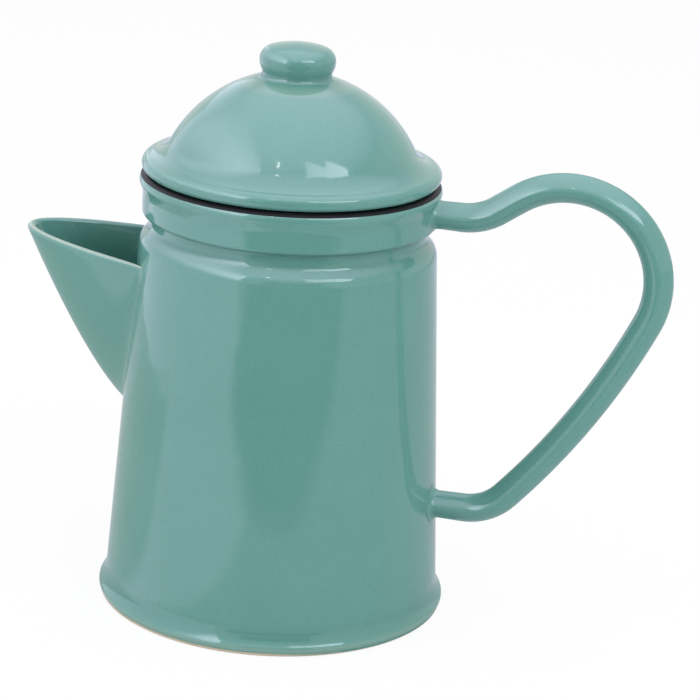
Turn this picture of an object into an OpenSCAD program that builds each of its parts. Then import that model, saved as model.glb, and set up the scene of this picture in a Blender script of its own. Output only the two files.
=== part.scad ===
// Coffee percolator: a glazed ceramic pot with a beak spout and a loop handle, a domed lid with a
// pebble knob, and the lift-out metal pump with its coffee basket and spreader.
// Millimetres, +Z up. The origin is the centre of the foot on the table; the handle points along +X
// and the spout along -X. Profiles are written as [radius, height].

/* [Pot] */
// Radius that the straight wall would have at the table
wall_base_r = 62.9; // [60:0.1:66]
// Radius of the wall at the shoulder
shoulder_r = 54.2; // [53:0.1:57]
// Height of the shoulder, where the wall turns in
shoulder_z = 135.6; // [130:0.1:137]
// Radius of the rounded shoulder
shoulder_round = 6.2; // [5:0.1:7.5]
// Depth of the groove below the shoulder
groove_depth = 2.8; // [2:0.1:3.6]
// Radius of the groove's hollow
groove_round = 2.2; // [1.6:0.1:2.8]
// Step from the shoulder in to the straight collar
collar_step = 0.7; // [0.2:0.1:1.2]
// Radius of the collar's lower edge
collar_round = 3; // [2:0.1:3.5]
// Height of the rim above the shoulder
rim_rise = 25.2; // [23:0.1:30]
// Overhang of the lip past the collar
lip_out = 1.3; // [0.8:0.1:2]
// Radius of the rounded lip
lip_round = 3; // [2.7:0.1:3.4]
// Radius of the hollow flare under the lip
lip_flare = 8; // [5:0.5:12]
// Height of the black edge, down from the rim
band_h = 1.3; // [0.9:0.1:2.8]
// Thickness of the pot wall
wall = 4.2; // [3.6:0.1:5]
// Thickness of the floor
floor_t = 5; // [4:0.5:8]
// Radius of the corner between the floor and the wall
floor_round = 8; // [4:0.5:12]

/* [Foot] */
// Overhang of the foot past the wall's radius at the table
foot_out = 1.8; // [1.3:0.1:3.5]
// Radius of the foot's rounded edge
foot_bead = 1.7; // [1.2:0.1:2.2]
// Radius of the hollow between the foot and the wall
foot_fillet = 9; // [6:0.5:12]
// Width of the ring that the pot stands on
foot_w = 9; // [6:0.5:12]
// Height of the bare clay edge
clay_h = 1; // [0.6:0.1:1.4]
// Rounding of the bare clay edge
clay_round = 0.5; // [0.2:0.1:0.5]
// Height of the recess under the floor
recess_h = 3; // [2:0.5:4]

/* [Spout] */
// Height where the keel leaves the wall
spout_base_z = 67; // [55:1:80]
// Distance from the shoulder down to the spout's edge at the wall
spout_drop = 9.3; // [6:0.1:15]
// Rise of the edge from the wall to the tip
spout_rise = 4.3; // [0:0.1:8]
// Reach of the tip beyond the wall
spout_reach = 45.2; // [36:0.1:52]
// Half the width of the spout at the wall
spout_half_w = 30; // [26:0.5:34]
// Thickness of the spout
spout_wall = 3.4; // [2.8:0.1:4.4]
// Diameter of a strainer hole
strainer_d = 6; // [4:0.5:6.5]
// Wall left between strainer holes
strainer_gap = 3; // [2:0.5:4]
// Rows of strainer holes
strainer_rows = 5; // [3:1:5]

/* [Handle] */
// Width of the bar, seen from the side
handle_w = 10.8; // [9:0.1:12]
// Width of the bar at its roots
handle_root_w = 10.4; // [9:0.1:11]
// Depth of the bar across the pot
handle_d = 12.5; // [9:0.5:16]
// Distance from the rim down to the upper root
handle_drop = 8.3; // [6.8:0.1:10]
// Height of the lower root
handle_bottom_z = 42.7; // [35:0.1:50]
// Straight length of the upper root
upper_lead = 10; // [8:0.5:12]
// Radius of the upper bend
upper_bend_r = 22; // [18:0.5:22.5]
// Angle at which the bar climbs from the upper bend to the arch
cross_angle = 35.5; // [30:0.5:42]
// Straight length between the upper bend and the arch
cross_run = 8.5; // [4:0.1:14]
// Radius of the arch
arch_r = 33.1; // [28:0.1:33.5]
// Radius of the long, slightly bowed run
bow_r = 280; // [220:5:400]
// Straight length of the lower root
lower_lead = 11.4; // [8:0.1:14]
// Radius of the lower bend
lower_bend_r = 20; // [16:0.5:24]
// Radius of the flare at each root
root_flare = 2.4; // [1.5:0.1:3]

/* [Lid] */
// Height of the dome above the rim
dome_h = 37.8; // [34:0.2:42]
// Step from the lip in to the brim's edge
brim_step = 0.6; // [0.4:0.1:2]
// Step from the brim's edge in to the sphere of the dome
dome_step = 4.1; // [3.6:0.1:5]
// Radius of the brim's rounded edge
brim_round = 2.8; // [2.2:0.1:3.4]
// Radius of the hollow between the brim and the dome
brim_fillet = 9; // [6:0.5:12]
// Thickness of the lid
lid_wall = 4.2; // [3.6:0.1:4.8]
// Depth of the skirt inside the mouth
skirt_h = 11; // [8:0.5:11.5]
// Thickness of the skirt
skirt_t = 3.6; // [3.2:0.1:4.2]
// Gap between the skirt and the mouth
skirt_gap = 0.6; // [0.4:0.1:1]

/* [Knob] */
// Largest radius of the knob
knob_r = 13.7; // [12.8:0.1:15]
// Height of the knob above the top of the dome
knob_h = 10.7; // [10:0.1:13]
// Radius of the hollow between the knob and the dome
knob_hollow = 4; // [3:0.1:5]
// Radius of the knob's rounded side
knob_round = 4.2; // [3.4:0.1:4.4]
// Distance from the knob's widest level to its top
knob_crown_h = 6.1; // [5.6:0.1:7]

/* [Pump] */
// Outer radius of the riser
tube_r = 4.5; // [4:0.1:5.5]
// Wall of the riser
tube_wall = 0.9; // [0.6:0.1:1.4]
// Height of the riser's open top above the rim
tube_above_rim = 11; // [6:0.5:16]
// Radius of the bell
bell_r = 31; // [24:0.5:38]
// Radius of the bell's dome
bell_round = 16; // [10:0.5:18]
// Height of the bell's straight rim
bell_rim_h = 4; // [3.5:0.5:8]
// Height of the sleeve that grips the riser
bell_sleeve_h = 8; // [5:0.5:14]
// Thickness of the pressed metal
sheet = 1; // [0.8:0.1:1.3]
// Radius of an inlet notch in the bell's rim
notch_r = 2.5; // [1.5:0.1:3]
// Inlet notches and weep holes in the bell
bell_holes = 6; // [3:1:8]
// Diameter of a weep hole
weep_d = 3; // [2:0.1:3.4]
// Radius of the valve washer
valve_r = 13; // [12:0.1:13.5]
// Thickness of the valve washer
valve_t = 1; // [0.8:0.1:1.4]
// Lift of the valve washer
valve_lift = 3; // [2:0.1:4]
// Radius of the ring that keeps the washer on
retainer_r = 8; // [7:0.1:9.5]
// Thickness of that ring
retainer_t = 1.5; // [1:0.1:2]
// Radius of the collar that carries the basket
stop_r = 8; // [7.5:0.1:10]
// Height of that collar
stop_h = 3; // [2:0.5:5]

/* [Basket] */
// Distance from the rim down to the basket's edge
basket_drop = 15.8; // [14:0.1:24]
// Height of the basket
basket_h = 45; // [38:0.5:46]
// Outer radius of the basket
basket_r = 38; // [34:0.5:40]
// Radius of the rolled top edge
basket_roll = 1.4; // [1.2:0.1:2]
// Width of the turned-in edge that carries the plate
basket_ledge = 3; // [2:0.5:5]
// Diameter of a perforation in the plate, the wall and the spreader
perforation_d = 2.6; // [1.6:0.1:3]
// Metal left between perforations
perforation_gap = 3.6; // [2.8:0.1:4.6]
// Rows of holes up the wall
wall_rows = 3; // [1:1:4]
// Holes in one row of the wall
wall_holes = 24; // [12:2:30]

/* [Spreader] */
// Height of the spreader's rim
spreader_rim_h = 5; // [3:0.5:7]
// Height of the collar round the riser
spreader_collar_h = 8; // [5:0.5:10]
// Overhang of the spreader past the basket
spreader_over = 3; // [2.6:0.1:3.2]

/* [Clearances] */
// Gap under a piece that rests on another
seat_gap = 0.2; // [0.1:0.05:0.3]
// Gap round the riser for what slides on it
slide_gap = 0.4; // [0.3:0.05:0.6]
// Gap at a bond between two fixed pieces
bond = 0.05; // [0.02:0.01:0.1]

/* [Hidden] */
$fn = 96;

glaze = [0.39, 0.60, 0.57];
black_glaze = [0.13, 0.13, 0.15];
bare_clay = [0.86, 0.82, 0.74];
metal = [0.74, 0.75, 0.77];

// Steps in a rounded stretch of a profile
arc_steps = 10;
// Steps in the dome of the lid
dome_steps = 24;
// How far a cut runs past the face that it opens
over = 1;

// Points on an arc round c, from angle a0 to a1
function arc(c, r, a0, a1, n = arc_steps) =
    [for (i = [0:n]) let (a = a0 + (a1 - a0) * i / n) c + r * [cos(a), sin(a)]];
// Direction from a to b
function heading(a, b) = atan2(b[1] - a[1], b[0] - a[0]);
// Direction at angle a
function toward(a) = [cos(a), sin(a)];
// Point at distance d1 from c1 and d2 from c2, on the left (1) or right (-1) of c1 to c2
function meet(c1, d1, c2, d2, side) =
    let (
        v = c2 - c1,
        d = norm(v),
        along = (d1 * d1 - d2 * d2 + d * d) / (2 * d),
        aside = sqrt(d1 * d1 - along * along)
    )
    c1 + along * v / d + side * aside * [-v[1], v[0]] / d;
// Leg of a right triangle
function leg(hypotenuse, other) = sqrt(hypotenuse * hypotenuse - other * other);

// Sizes that follow from the steps between pieces
groove_r = shoulder_r - groove_depth;
collar_r = shoulder_r - collar_step;
lip_r = collar_r + lip_out;
rim_z = shoulder_z + rim_rise;
foot_r = wall_base_r + foot_out;
spout_top_z = shoulder_z - spout_drop;
strainer_pitch = strainer_d + strainer_gap;
handle_top_z = rim_z - handle_drop;
brim_r = lip_r - brim_step;
dome_r = brim_r - dome_step;
perforation_pitch = perforation_d + perforation_gap;

// Outer radius of the straight wall at height z
function wall_r(z) = wall_base_r + (shoulder_r - wall_base_r) * z / shoulder_z;
// Angle by which the wall leans in
wall_tilt = atan((wall_base_r - shoulder_r) / shoulder_z);

// Centres of the pot's rounded stretches, each tangent to the next
bead_c = [foot_r - foot_bead, clay_h + foot_bead * sin(45)];
fillet_r = wall_r(bead_c[1] + foot_fillet) + foot_fillet;
fillet_c = [fillet_r, bead_c[1] + leg(foot_bead + foot_fillet, fillet_r - bead_c[0])];
shoulder_c = [shoulder_r - shoulder_round, shoulder_z];
groove_cr = groove_r + groove_round;
groove_c = [groove_cr, shoulder_z + leg(shoulder_round + groove_round, groove_cr - shoulder_c[0])];
collar_cr = collar_r - collar_round;
collar_c = [collar_cr, groove_c[1] + leg(groove_round + collar_round, groove_cr - collar_cr)];
lip_c = [lip_r - lip_round, rim_z - lip_round];
flare_cr = collar_r + lip_flare;
flare_c = [flare_cr, lip_c[1] - leg(lip_flare + lip_round, flare_cr - lip_c[0])];

// Levels and radii that the pieces share
band_angle = asin((lip_round - band_h) / lip_round);
mouth_r = lip_c[0] - lip_round;
foot_in_r = foot_r - foot_bead - foot_w + foot_bead * cos(45);
clay_r = bead_c[0] + foot_bead * cos(45);
floor_z = recess_h + floor_t;
brim_z = rim_z + seat_gap;
dome_c = [0, rim_z + dome_h - dome_r];
bell_z = floor_z + seat_gap;
bell_top_z = bell_z + bell_rim_h + bell_round;
valve_z = bell_top_z - sheet - seat_gap - valve_lift - valve_t;
retainer_z = valve_z - seat_gap - retainer_t;
tube_top_z = rim_z + tube_above_rim;
basket_top_z = rim_z - basket_drop;
basket_z = basket_top_z - basket_h;
plate_z = basket_z + sheet;
sleeve_r = tube_r + slide_gap + sheet;
spreader_z = basket_top_z + seat_gap;
spreader_r = basket_r + spreader_over;

// Outside of the pot from the clay edge to the height of the black band
outer_profile = concat(
    arc(bead_c, foot_bead, -45, heading(bead_c, fillet_c)),
    arc(fillet_c, foot_fillet, heading(fillet_c, bead_c) + 360, 180),
    arc(shoulder_c, shoulder_round, wall_tilt, heading(shoulder_c, groove_c)),
    arc(groove_c, groove_round, heading(groove_c, shoulder_c) + 360, heading(groove_c, collar_c)),
    arc(collar_c, collar_round, heading(collar_c, groove_c), 0),
    arc(flare_c, lip_flare, 180, heading(flare_c, lip_c)),
    arc(lip_c, lip_round, heading(lip_c, flare_c), band_angle)
);

// Inside of the pot from the black band down to the middle of the floor
throat_round = groove_round + wall;
throat_top = acos((groove_c[0] - mouth_r) / throat_round);
floor_corner = [wall_r(floor_z + floor_round) - wall - floor_round, floor_z + floor_round];
inner_profile = concat(
    arc(lip_c, lip_round, 180 - band_angle, 180),
    arc(groove_c, throat_round, 180 - throat_top, heading(groove_c, shoulder_c) + 360),
    arc(shoulder_c, shoulder_round - wall, heading(shoulder_c, groove_c), wall_tilt),
    arc(floor_corner, floor_round, 0, -90),
    [[0, floor_z]]
);

module strainer_holes() {
    top = spout_top_z - spout_wall - strainer_pitch;
    for (row = [0:strainer_rows - 1], k = [0:row])
        translate([-wall_base_r - over, (k - row / 2) * strainer_pitch,
                   top - (strainer_rows - 1 - row) * strainer_pitch])
            rotate([0, 90, 0])
                cylinder(d = strainer_d, h = wall_base_r / 2);
}

module pot_body() {
    color(glaze)
        difference() {
            rotate_extrude()
                polygon(concat(
                    [[foot_in_r, clay_h]],
                    outer_profile,
                    inner_profile,
                    [[0, recess_h], [foot_in_r, recess_h]]
                ));
            strainer_holes();
        }
}

module rim_band() {
    color(black_glaze)
        rotate_extrude()
            polygon(arc(lip_c, lip_round, band_angle, 180 - band_angle, 2 * arc_steps));
}

module foot_ring() {
    in_c = [foot_in_r + clay_round, clay_round];
    out_c = [clay_r - clay_round, clay_round];
    color(bare_clay)
        rotate_extrude()
            polygon(concat(
                arc(in_c, clay_round, 180, 270),
                arc(out_c, clay_round, 270, 360),
                [[clay_r, clay_h], [foot_in_r, clay_h]]
            ));
}

// The beak: at a share t of its height it stands out of the wall as a rounded tent over an angle.
// Steps up the beak, round it and over its edge
spout_steps = 18;
spout_sides = 28;
rim_steps = 5;
// Powers that bend the keel, the root line on the wall, the sides and the spacing of the rows
keel_power = 0.8;
root_power = 0.5;
side_power = 1.7;
row_power = 1.5;
// Rounding of the keel, as a share of the half angle, and of the edge, as a share of its width
tip_softness = 0.27;
rim_crown = 1;
// Half angle of the beak at its top
spout_angle = asin(spout_half_w / wall_r(spout_top_z));
// Reach and height that the leaning wall takes, in wall thicknesses
spout_lean = 1;
spout_sole = 2;

// Rises from 0 at the keel to 1 at the side, rounded at the keel
function soft(v) =
    (sqrt(v * v + tip_softness * tip_softness) - tip_softness)
    / (sqrt(1 + tip_softness * tip_softness) - tip_softness);
// Point of a beak at height share t and side share v from -1 to 1
function beak(t, v, base_z, reach, half_angle) =
    let (
        out = reach * pow(t, keel_power) * pow(1 - soft(v), side_power),
        z = base_z + t * (spout_top_z - base_z) + t * spout_rise * out / spout_reach,
        a = 180 + v * half_angle * pow(t, root_power),
        r = wall_r(z) + bond + out
    )
    [r * cos(a), r * sin(a), z];
function outer_beak(t, v) = beak(t, v, spout_base_z, spout_reach, spout_angle);
function inner_beak(t, v) =
    beak(t, v, spout_base_z + spout_sole * spout_wall, spout_reach - spout_lean * spout_wall,
         spout_angle * (1 - spout_wall / spout_half_w));
// Rounded edge between the outside and the inside at the top of the beak
function beak_rim(k, v) =
    let (
        a = 180 * k / rim_steps,
        o = outer_beak(1, v),
        i = inner_beak(1, v)
    )
    (o + i) / 2 + (o - i) / 2 * cos(a) + [0, 0, spout_wall / 2 * rim_crown * sin(a)];

// Rows of the closed skin: up the outside, over the edge and down the inside
beak_heights = [for (i = [1:spout_steps]) pow(i / spout_steps, row_power)];
beak_rows = concat(
    [for (t = beak_heights) [for (j = [0:spout_sides]) outer_beak(t, 2 * j / spout_sides - 1)]],
    [for (k = [1:rim_steps - 1]) [for (j = [0:spout_sides]) beak_rim(k, 2 * j / spout_sides - 1)]],
    [for (i = [spout_steps - 1:-1:0])
        [for (j = [0:spout_sides]) inner_beak(beak_heights[i], 2 * j / spout_sides - 1)]]
);

module spout() {
    n = spout_sides + 1;
    rows = len(beak_rows);
    points = concat([for (row = beak_rows) each row], [outer_beak(0, 0), inner_beak(0, 0)]);
    outer_tip = n * rows;
    inner_tip = outer_tip + 1;
    skin = [for (i = [0:rows - 2], j = [0:n - 2]) each [
        [i * n + j, (i + 1) * n + j, (i + 1) * n + j + 1],
        [i * n + j, (i + 1) * n + j + 1, i * n + j + 1]]];
    // The face on the wall joins each outer row to its inner row, at both sides
    half = floor((rows - 1) / 2);
    back = [for (i = [0:half - 1], s = [0, 1]) let (
            a = i * n + s * (n - 1),
            b = a + n,
            d = (rows - 1 - i) * n + s * (n - 1),
            c = d - n)
        each s == 0 ? [[a, c, b], [a, d, c]] : [[a, b, c], [a, c, d]]];
    keel = [for (j = [0:n - 2]) [outer_tip, j, j + 1]];
    gully = [for (j = [0:n - 2]) [inner_tip, (rows - 1) * n + j + 1, (rows - 1) * n + j]];
    first = (rows - 1) * n;
    base = [[outer_tip, first, 0], [outer_tip, inner_tip, first],
            [outer_tip, n - 1, first + n - 1], [outer_tip, first + n - 1, inner_tip]];
    color(glaze)
        polyhedron(points, concat(skin, back, keel, gully, base));
}

// Centres of the handle's tangent arcs, as [x, z]
upper_c = [collar_r + upper_lead, handle_top_z + upper_bend_r];
arch_c = upper_c + (upper_bend_r + arch_r) * toward(cross_angle - 90) + cross_run * toward(cross_angle);
lower_c = [wall_r(handle_bottom_z) + lower_lead, handle_bottom_z + lower_bend_r];
bow_c = meet(arch_c, bow_r - arch_r, lower_c, bow_r - lower_bend_r, -1);
arch_end = heading(bow_c, arch_c);
bow_end = heading(bow_c, lower_c);

// Outer radius of the pot at height z, on the wall, the collar and the lip
flare_top_z = flare_c[1] + lip_flare * (lip_c[1] - flare_c[1]) / (lip_flare + lip_round);
function pot_r(z) =
    z < shoulder_z ? wall_r(z)
    : z < collar_c[1] ? collar_c[0] + leg(collar_round, collar_c[1] - z)
    : z < flare_c[1] ? collar_r
    : z < flare_top_z ? flare_cr - leg(lip_flare, z - flare_c[1])
    : lip_c[0] + leg(lip_round, z - lip_c[1]);

// Oval section of the bar: in the handle's plane and across it
bar_sides = 24;
bar_power = 2.3;
// Steps along a bend, along the arch and along the long run
bend_steps = 8;
arch_steps = 24;
bow_steps = 16;
function squarish(a) = sign(a) * pow(abs(a), 2 / bar_power);
function oval(w, d) =
    [for (j = [0:bar_sides - 1]) let (a = 360 * j / bar_sides)
        [w / 2 * squarish(cos(a)), d / 2 * squarish(sin(a))]];

// Ring of the bar at point p, travelling towards the given direction
function bar_ring(p, direction) =
    let (n = toward(direction + 90))
    [for (q = oval(handle_w, handle_d)) [p[0] + q[0] * n[0], q[1], p[1] + q[0] * n[1]]];
// Rings round c, from angle a0 to a1
function bar_bend(c, r, a0, a1, n) =
    [for (i = [0:n]) let (a = a0 + (a1 - a0) * i / n)
        bar_ring(c + r * toward(a), a + 90 * sign(a1 - a0))];
// Share of the flare that spreads upwards, where the upper root meets the lip
lip_side_flare = 0.1;
// Ring at distance s from the wall on a root at height z0; up is 1 or -1
function root_ring(z0, up, s, lead, share = 1) =
    let (
        part = s / lead,
        flare = 2 * (root_flare - leg(root_flare, max(0, root_flare - s))),
        w = handle_root_w + (handle_w - handle_root_w) * part
    )
    [for (q = oval(w, handle_d + flare)) let (
            spread = flare * (up * q[0] > 0 && z0 > shoulder_z ? lip_side_flare : 1),
            y = share * q[1],
            z = z0 + up * share * q[0] * (1 + spread / w),
            on_wall = leg(pot_r(z), y) + bond)
        [on_wall + s - part * (on_wall - pot_r(z0)), y, z]];
// Rings of a root from the middle of its seat on the wall out to the bar, over the seat and the flare
seat_steps = 3;
flare_steps = 5;
function bar_root(z0, up, lead) =
    concat(
        [for (k = [1:seat_steps - 1]) root_ring(z0, up, 0, lead, k / seat_steps)],
        [for (k = [0:flare_steps]) root_ring(z0, up, root_flare * (1 - cos(90 * k / flare_steps)), lead)]
    );
function reversed(list) = [for (i = [len(list) - 1:-1:0]) list[i]];

handle_rings = concat(
    bar_root(handle_top_z, 1, upper_lead),
    bar_bend(upper_c, upper_bend_r, -90, cross_angle - 90, bend_steps),
    bar_bend(arch_c, arch_r, cross_angle + 90, arch_end, arch_steps),
    bar_bend(bow_c, bow_r, arch_end, bow_end, bow_steps),
    bar_bend(lower_c, lower_bend_r, bow_end, -90, bend_steps),
    reversed(bar_root(handle_bottom_z, -1, lower_lead))
);

module handle() {
    n = bar_sides;
    rows = len(handle_rings);
    ends = [[pot_r(handle_top_z) + bond, 0, handle_top_z],
            [pot_r(handle_bottom_z) + bond, 0, handle_bottom_z]];
    first = n * rows;
    skin = [for (i = [0:rows - 2], j = [0:n - 1]) let (k = (j + 1) % n) each [
        [i * n + j, i * n + k, (i + 1) * n + k],
        [i * n + j, (i + 1) * n + k, (i + 1) * n + j]]];
    caps = [for (j = [0:n - 1]) let (k = (j + 1) % n) each [
        [first, k, j],
        [first + 1, (rows - 1) * n + j, (rows - 1) * n + k]]];
    color(glaze)
        polyhedron(concat([for (ring = handle_rings) each ring], ends), concat(skin, caps));
}

// Centres of the lid's rounded stretches
brim_c = [brim_r - brim_round, brim_z + brim_round];
hollow_c = meet(dome_c, dome_r + brim_fillet, brim_c, brim_round + brim_fillet, 1);
skirt_out_r = mouth_r - skirt_gap;
skirt_in_r = skirt_out_r - skirt_t;
skirt_z = brim_z - skirt_h;
dome_in_r = dome_r - lid_wall;
// Centres of the knob's rounded stretches; its hollow neck meets the dome at the edge of a flat seat
knob_top_z = rim_z + dome_h + knob_h;
side_c = [knob_r - knob_round, knob_top_z - knob_crown_h];
neck_c = meet(dome_c, dome_r + knob_hollow, side_c, knob_round + knob_hollow, -1);
knob_seat_z = dome_c[1] + dome_r * sin(heading(dome_c, neck_c));

module lid_dome() {
    color(glaze)
        rotate_extrude()
            polygon(concat(
                [[skirt_in_r, skirt_z], [skirt_out_r, skirt_z], [skirt_out_r, brim_z]],
                arc(brim_c, brim_round, -90, heading(brim_c, hollow_c)),
                arc(hollow_c, brim_fillet, heading(hollow_c, brim_c) + 360,
                    heading(hollow_c, dome_c) + 360),
                arc(dome_c, dome_r, heading(dome_c, hollow_c), heading(dome_c, neck_c), dome_steps),
                [[0, knob_seat_z]],
                arc(dome_c, dome_in_r, 90, acos(skirt_in_r / dome_in_r), dome_steps)
            ));
}

module lid_knob() {
    crown_r = (side_c[0] * side_c[0] + knob_crown_h * knob_crown_h - knob_round * knob_round)
        / (2 * (knob_crown_h - knob_round));
    crown_c = [0, knob_top_z - crown_r];
    color(glaze)
        rotate_extrude()
            polygon(concat(
                [[0, knob_seat_z]],
                arc(neck_c, knob_hollow, heading(neck_c, dome_c) + 360, heading(neck_c, side_c)),
                arc(side_c, knob_round, heading(side_c, neck_c), heading(crown_c, side_c)),
                arc(crown_c, crown_r, heading(crown_c, side_c), 90)
            ));
}

// Ring between two radii
module ring(r_in, r_out, h) {
    difference() {
        cylinder(r = r_out, h = h);
        translate([0, 0, -over])
            cylinder(r = r_in, h = h + 2 * over);
    }
}

// Rings of perforations between two radii, a perforation_pitch apart both ways
module perforations(r_in, r_out, h) {
    rings = floor((r_out - r_in - perforation_d) / perforation_pitch);
    for (k = [0:rings]) {
        r = r_in + perforation_d / 2 + k * perforation_pitch;
        count = floor(2 * PI * r / perforation_pitch);
        for (i = [0:count - 1])
            rotate(i * 360 / count)
                translate([r, 0, -over])
                    cylinder(d = perforation_d, h = h + 2 * over);
    }
}

module pump_tube() {
    color(metal)
        translate([0, 0, retainer_z])
            ring(tube_r - tube_wall, tube_r, tube_top_z - retainer_z);
}

module pump_bell() {
    dome_c = [bell_r - bell_round, bell_z + bell_rim_h];
    sleeve_out = tube_r + bond + sheet;
    weep_r = (sleeve_out + dome_c[0]) / 2;
    color(metal)
        difference() {
            rotate_extrude()
                polygon(concat(
                    [[bell_r - sheet, bell_z], [bell_r, bell_z]],
                    arc(dome_c, bell_round, 0, 90),
                    [[sleeve_out, bell_top_z], [sleeve_out, bell_top_z + bell_sleeve_h],
                     [tube_r + bond, bell_top_z + bell_sleeve_h], [tube_r + bond, bell_top_z - sheet]],
                    arc(dome_c, bell_round - sheet, 90, 0)
                ));
            for (i = [0:bell_holes - 1])
                rotate(i * 360 / bell_holes) {
                    translate([bell_r - 3 * sheet, 0, bell_z])
                        rotate([0, 90, 0])
                            cylinder(r = notch_r, h = 4 * sheet);
                    translate([weep_r, 0, bell_top_z - 2 * sheet])
                        cylinder(d = weep_d, h = 3 * sheet);
                }
        }
}

module valve_retainer() {
    color(metal)
        translate([0, 0, retainer_z])
            ring(tube_r + bond, retainer_r, retainer_t);
}

module tube_stop() {
    color(metal)
        translate([0, 0, basket_z - seat_gap - stop_h])
            ring(tube_r + bond, stop_r, stop_h);
}

module pump_valve() {
    color(metal)
        translate([0, 0, valve_z])
            ring(tube_r + slide_gap, valve_r, valve_t);
}

module basket_wall() {
    roll_z = basket_top_z - basket_roll;
    row_z = plate_z + 2 * sheet + perforation_d;
    color(metal)
        difference() {
            union() {
                translate([0, 0, basket_z])
                    ring(basket_r - basket_ledge, basket_r, sheet);
                translate([0, 0, basket_z])
                    ring(basket_r - sheet, basket_r, basket_h - basket_roll);
                rotate_extrude()
                    translate([basket_r + basket_roll - sheet, roll_z])
                        circle(r = basket_roll);
            }
            for (row = [0:wall_rows - 1], i = [0:wall_holes - 1])
                rotate((i + row / 2) * 360 / wall_holes)
                    translate([basket_r - 3 * sheet, 0, row_z + row * perforation_pitch])
                        rotate([0, 90, 0])
                            cylinder(d = perforation_d, h = 4 * sheet);
        }
}

module basket_plate() {
    color(metal)
        translate([0, 0, plate_z])
            difference() {
                ring(sleeve_r + bond, basket_r - sheet - bond, sheet);
                perforations(stop_r + 2 * sheet, basket_r - basket_ledge - sheet, sheet);
            }
}

module basket_sleeve() {
    color(metal)
        translate([0, 0, basket_z]) {
            ring(tube_r + slide_gap, sleeve_r, basket_h - basket_roll);
            ring(tube_r + slide_gap, stop_r, sheet);
        }
}

module spreader() {
    collar_out = sleeve_r + sheet;
    color(metal)
        translate([0, 0, spreader_z])
            difference() {
                union() {
                    ring(tube_r + slide_gap, spreader_r, sheet);
                    ring(spreader_r - sheet, spreader_r, spreader_rim_h);
                    ring(tube_r + slide_gap, collar_out, spreader_collar_h);
                }
                perforations(collar_out + sheet, spreader_r - 2 * sheet, sheet);
            }
}

pot_body();
spout();
handle();
rim_band();
foot_ring();
lid_dome();
lid_knob();
pump_tube();
pump_bell();
valve_retainer();
tube_stop();
pump_valve();
basket_wall();
basket_plate();
basket_sleeve();
spreader();
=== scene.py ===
"""A coffee percolator: a mint-glazed ceramic pot with a beak spout, a loop handle and a domed lid, a black
lip and a bare clay foot, and the aluminium pump, basket and spreader that lift out of it.

Shapes are drawn in millimetres, as [radius, height] for turned pieces, and scaled to metres at the end."""

from math import acos, asin, atan, atan2, copysign, cos, degrees, exp, hypot, pi, radians, sin, sqrt

import bmesh
import bpy
from mathutils import Matrix, Vector


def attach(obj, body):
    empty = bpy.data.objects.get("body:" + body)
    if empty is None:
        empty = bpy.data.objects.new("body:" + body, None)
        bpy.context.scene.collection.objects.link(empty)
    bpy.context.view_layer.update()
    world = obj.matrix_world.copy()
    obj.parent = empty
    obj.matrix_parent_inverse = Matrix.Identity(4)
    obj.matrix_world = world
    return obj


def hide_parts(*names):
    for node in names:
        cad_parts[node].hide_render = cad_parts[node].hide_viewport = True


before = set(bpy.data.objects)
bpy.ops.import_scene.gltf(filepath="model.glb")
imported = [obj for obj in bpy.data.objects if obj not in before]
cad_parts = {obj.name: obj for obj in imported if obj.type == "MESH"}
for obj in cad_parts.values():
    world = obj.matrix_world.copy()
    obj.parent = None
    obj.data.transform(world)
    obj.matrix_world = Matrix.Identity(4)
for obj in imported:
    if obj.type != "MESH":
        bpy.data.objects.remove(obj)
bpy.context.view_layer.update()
scene = bpy.context.scene
scene.view_settings.view_transform = "Standard"

MM = 0.001

# Pot: the wall's line would meet the table at its base radius. The shoulder's rounding starts a little below
# the shoulder and stops at its slope, which runs on straight to the groove.
WALL_BASE_R = 62.9
SHOULDER_R = 54.2
SHOULDER_Z = 135.6
SHOULDER_LOW = 2.2
SHOULDER_ROUND = 6.9
SHOULDER_SLOPE = 42
SHOULDER_RUN = 1.5
GROOVE_ROUND = 5
GROOVE_RISE = 2
CREASE_ROUND = 1
COLLAR_STEP = 0.7
COLLAR_R = SHOULDER_R - COLLAR_STEP
COLLAR_ROUND = 1.5
RIM_RISE = 25.2
RIM_Z = SHOULDER_Z + RIM_RISE
LIP_OUT = 1.3
LIP_R = COLLAR_R + LIP_OUT
LIP_ROUND = 3
LIP_FLARE = 8
BAND_H = 1.3
BAND_PROUD = 0.04
WALL = 4.2
THROAT_R = 47.2
THROAT_ROUND = 6.4
THROAT_SHOULDER = 2

# Foot and floor
FOOT_OUT = 1.8
FOOT_R = WALL_BASE_R + FOOT_OUT
FOOT_BEAD = 2
BEAD_START = -45
FOOT_FILLET = 12
FOOT_W = 9
CLAY_H = 1
CLAY_ROUND = 0.5
RECESS_H = 3
FLOOR_T = 5
FLOOR_Z = RECESS_H + FLOOR_T
FLOOR_ROUND = 8

# Spout
SPOUT_BASE_Z = 67
SPOUT_DROP = 9.3
SPOUT_TOP_Z = SHOULDER_Z - SPOUT_DROP
SPOUT_RISE = 4.3
SPOUT_REACH = 45.2
SPOUT_HALF_W = 30
SPOUT_WALL = 3.4
STRAINER_D = 6
STRAINER_GAP = 3
STRAINER_PITCH = STRAINER_D + STRAINER_GAP
STRAINER_ROWS = 5

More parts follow.
